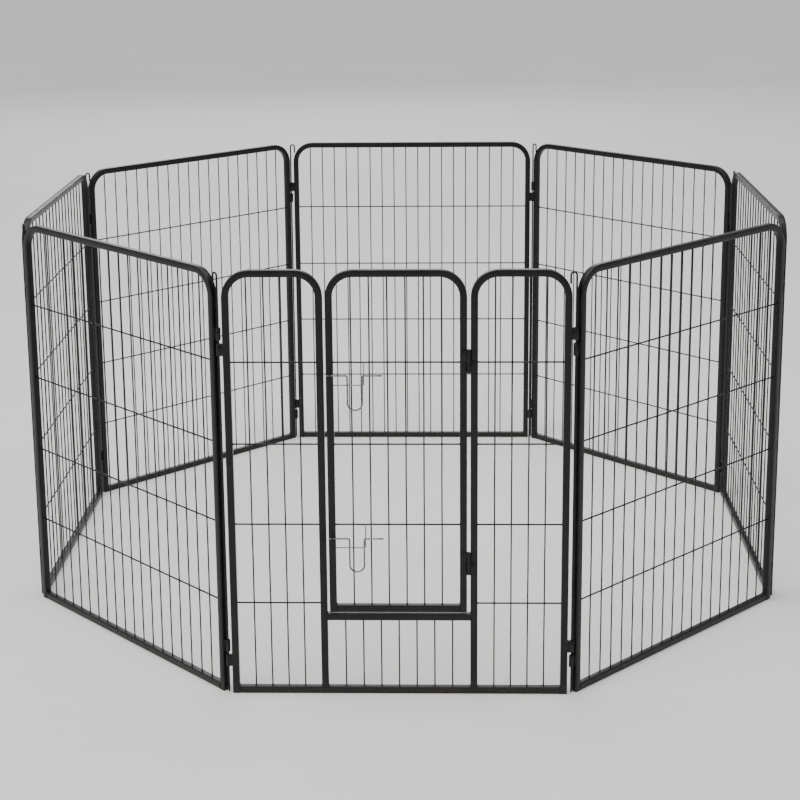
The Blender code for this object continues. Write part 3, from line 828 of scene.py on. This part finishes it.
class PLAYPEN_OT_latches(bpy.types.Operator):
    """Bend the two latch bolts with their guides, staples and keepers"""

    bl_idname = "playpen.latches"
    bl_label = "Latches"

    def execute(self, context):
        for label, cross_z in zip(("lower", "upper"), CROSS_HEIGHTS[1::2]):
            self.bolt(label)
            self.guide(label, cross_z)
            self.staple(f"{label}_latch_staple", "door")
            self.staple(f"{label}_latch_keeper", "gate_panel")
        return {"FINISHED"}

    def bolt(self, label):
        """A wire bolt with a long U handle hanging from it."""
        node = f"{label}_latch_bolt"
        radius = size(node).y / 2
        y, z = middle(node).y + APOTHEM, high(node).z - radius
        left, right = low(node).x, high(node).x
        leg, span = left + HANDLE_INSET, HANDLE_WIDTH
        drop = low(node).z + radius + span / 2
        down = rounded_path([(left, y, z), (leg, y, z), (leg, y, drop)], HANDLE_BEND)
        swing = arc((leg + span / 2, y, drop), span / 2, 180, 360, 16)[1:-1]
        corners = [(leg + span, y, drop), (leg + span, y, z), (right, y, z)]
        up = rounded_path(corners, HANDLE_BEND)
        work = bmesh.new()
        wire(work, down + swing + up, radius, sides=14)
        add_piece(f"{label}_latch_wire_bolt", work, "latch_wire", f"{label}_latch", [node])

    def guide(self, label, cross_z):
        """The wire that runs down over the bolt's tail and back to the door's post."""
        node, bolt = f"{label}_latch_guide_wire", f"{label}_latch_bolt"
        radius = GUIDE_RADIUS
        x = high(node).x - radius
        front, back = low(node).y + APOTHEM + radius, high(node).y + APOTHEM - radius
        z, low_z = high(bolt).z - size(bolt).y / 2, low(node).z + radius
        clearance = 0.0006
        behind = front + size(bolt).y + 2 * radius + clearance
        corners = [
            (x, back, cross_z), (x, front, z + GUIDE_FLAT), (x, front, z - GUIDE_FLAT),
            (x, behind, low_z), (low(node).x, behind, low_z),
        ]
        work = bmesh.new()
        wire(work, rounded_path(corners, GUIDE_BEND), radius, across=(1, 0, 0.1))
        spot(work, (x, back, cross_z), (radius * 1.4, radius * 1.2, radius * 1.7))
        spot(work, (low(node).x, behind, low_z), (radius * 0.8, radius * 1.7, radius * 1.7))
        add_piece(f"{label}_latch_bent_guide", work, "latch_wire", "door", [node])

    def staple(self, node, body):
        """A wire staple, arched over the bolt and welded to a tube's face."""
        radius, face, x = size(node).x / 2, -TUBE / 2, middle(node).x
        front = low(node).y + APOTHEM + radius
        low_z, high_z = low(node).z + radius, high(node).z - radius
        corners = [(x, face, low_z), (x, front, low_z), (x, front, high_z), (x, face, high_z)]
        work = bmesh.new()
        wire(work, rounded_path(corners, STAPLE_BEND), radius, sides=14, across=(1, 0, 0))
        for z in (low_z, high_z):
            spot(work, (x, face, z), (radius * 1.6, radius * 0.6, radius * 1.6), 2)
        add_piece(f"{node}_loop", work, "tube", body, [node])


# Each softbox: its name, place, side in metres and power in watts.
SOFTBOXES = (
    ("overhead_softbox", (0.0, -0.4, 5.0), 5.0, 160),
    ("back_softbox", (-1.0, 9.0, 5.0), 5.0, 190),
    ("front_softbox", (-5.5, -5.0, 3.6), 3.0, 120),
)
SUN_STRENGTH, SUN_SPREAD, SUN_TILT = 1.6, 70, (18, -22, 0)
SKY, SKY_STRENGTH = "EFF2F7", 0.48
PAPER, PAPER_STRENGTH = "F1F0EC", 0.80
FLOOR_SIDE, FLOOR_DROP = 400.0, 0.0005
CAMERA_PLACE = (0.105, -4.662, 1.824)
CAMERA_DOWN, CAMERA_ROLL, CAMERA_LEFT = 12.87, 0.45, 1.39
SENSOR_WIDTH, FOCAL_LENGTH, CAMERA_SHIFT = 36.0, 78.4, -0.15


class PLAYPEN_OT_stage(bpy.types.Operator):
    """Set up the floor, the studio lights and the camera"""

    bl_idname = "playpen.stage"
    bl_label = "Stage"

    def execute(self, context):
        self.floor()
        self.world()
        self.sun()
        for softbox in SOFTBOXES:
            self.softbox(*softbox)
        self.camera()
        return {"FINISHED"}

    def floor(self):
        bpy.ops.mesh.primitive_plane_add(size=FLOOR_SIDE, location=(0.0, 0.0, -FLOOR_DROP))
        plane = bpy.context.active_object
        plane.name = "studio_floor"
        plane.data.materials.append(MATERIALS["floor"])

    def world(self):
        """Even light from all round, with a backdrop as pale as the floor."""
        world = bpy.data.worlds.new("studio")
        bpy.context.scene.world = world
        world.use_nodes = True
        tree = world.node_tree
        background = tree.nodes["Background"]
        background.inputs["Color"].default_value = opaque(linear(SKY))
        background.inputs["Strength"].default_value = SKY_STRENGTH
        seen = add(tree, "ShaderNodeLightPath").outputs["Is Camera Ray"]
        paper = {"Color": opaque(linear(PAPER)), "Strength": PAPER_STRENGTH}
        backdrop = add(tree, "ShaderNodeBackground", paper).outputs[0]
        layers = {0: seen, 1: background.outputs[0], 2: backdrop}
        both = add(tree, "ShaderNodeMixShader", layers).outputs[0]
        tree.links.new(both, tree.nodes["World Output"].inputs["Surface"])

    def sun(self):
        """One very soft light from high on the left, which lights the floor evenly."""
        data = bpy.data.lights.new("soft_sun", "SUN")
        data.energy, data.angle = SUN_STRENGTH, math.radians(SUN_SPREAD)
        lamp = bpy.data.objects.new("soft_sun", data)
        bpy.context.scene.collection.objects.link(lamp)
        lamp.rotation_euler = [math.radians(a) for a in SUN_TILT]

    def softbox(self, name, place, side, power):
        """A square softbox aimed at the middle of the pen."""
        data = bpy.data.lights.new(name, "AREA")
        data.shape, data.size, data.energy = "SQUARE", side, power
        lamp = bpy.data.objects.new(name, data)
        bpy.context.scene.collection.objects.link(lamp)
        lamp.location = place
        heading = Vector((0.0, 0.0, HEIGHT / 2)) - Vector(place)
        lamp.rotation_euler = heading.to_track_quat("-Z", "Y").to_euler()
        lamp.visible_camera = False

    def camera(self):
        """A long lens above head height, nearly square on to the gate panel."""
        data = bpy.data.cameras.new("camera")
        data.sensor_width, data.lens = SENSOR_WIDTH, FOCAL_LENGTH
        data.shift_y = CAMERA_SHIFT
        camera = bpy.data.objects.new("camera", data)
        bpy.context.scene.collection.objects.link(camera)
        camera.location = CAMERA_PLACE
        turn = (90 - CAMERA_DOWN, CAMERA_ROLL, CAMERA_LEFT)
        camera.rotation_euler = [math.radians(a) for a in turn]
        bpy.context.scene.camera = camera


class PLAYPEN_PT_build(bpy.types.Panel):
    """Lists the playpen's pieces"""

    bl_idname = "PLAYPEN_PT_build"
    bl_label = "Pet Playpen"
    bl_space_type = "VIEW_3D"
    bl_region_type = "UI"
    bl_category = "Playpen"

    def draw(self, context):
        for operator in OPERATORS:
            self.layout.operator(operator.bl_idname)
        for settings in (context.scene.playpen_sizes, context.scene.playpen_finish):
            column = self.layout.column()
            for key in settings.bl_rna.properties.keys():
                if key not in ("rna_type", "name"):
                    column.prop(settings, key)


OPERATORS = (
    PLAYPEN_OT_plain_frames,
    PLAYPEN_OT_plain_meshes,
    PLAYPEN_OT_gate_frames,
    PLAYPEN_OT_gate_meshes,
    PLAYPEN_OT_rods,
    PLAYPEN_OT_door,
    PLAYPEN_OT_door_hinges,
    PLAYPEN_OT_latches,
    PLAYPEN_OT_stage,
)
CLASSES = (PlaypenSizes, PlaypenFinish, *OPERATORS, PLAYPEN_PT_build)


def register():
    for item in CLASSES:
        bpy.utils.register_class(item)
    bpy.types.Scene.playpen_sizes = bpy.props.PointerProperty(type=PlaypenSizes)
    bpy.types.Scene.playpen_finish = bpy.props.PointerProperty(type=PlaypenFinish)


def unregister():
    del bpy.types.Scene.playpen_finish
    del bpy.types.Scene.playpen_sizes
    for item in reversed(CLASSES):
        bpy.utils.unregister_class(item)


def main():
    register()
    make_materials()
    for operator in OPERATORS:
        group, action = operator.bl_idname.split(".")
        getattr(getattr(bpy.ops, group), action)()


if __name__ == "__main__":
    main()
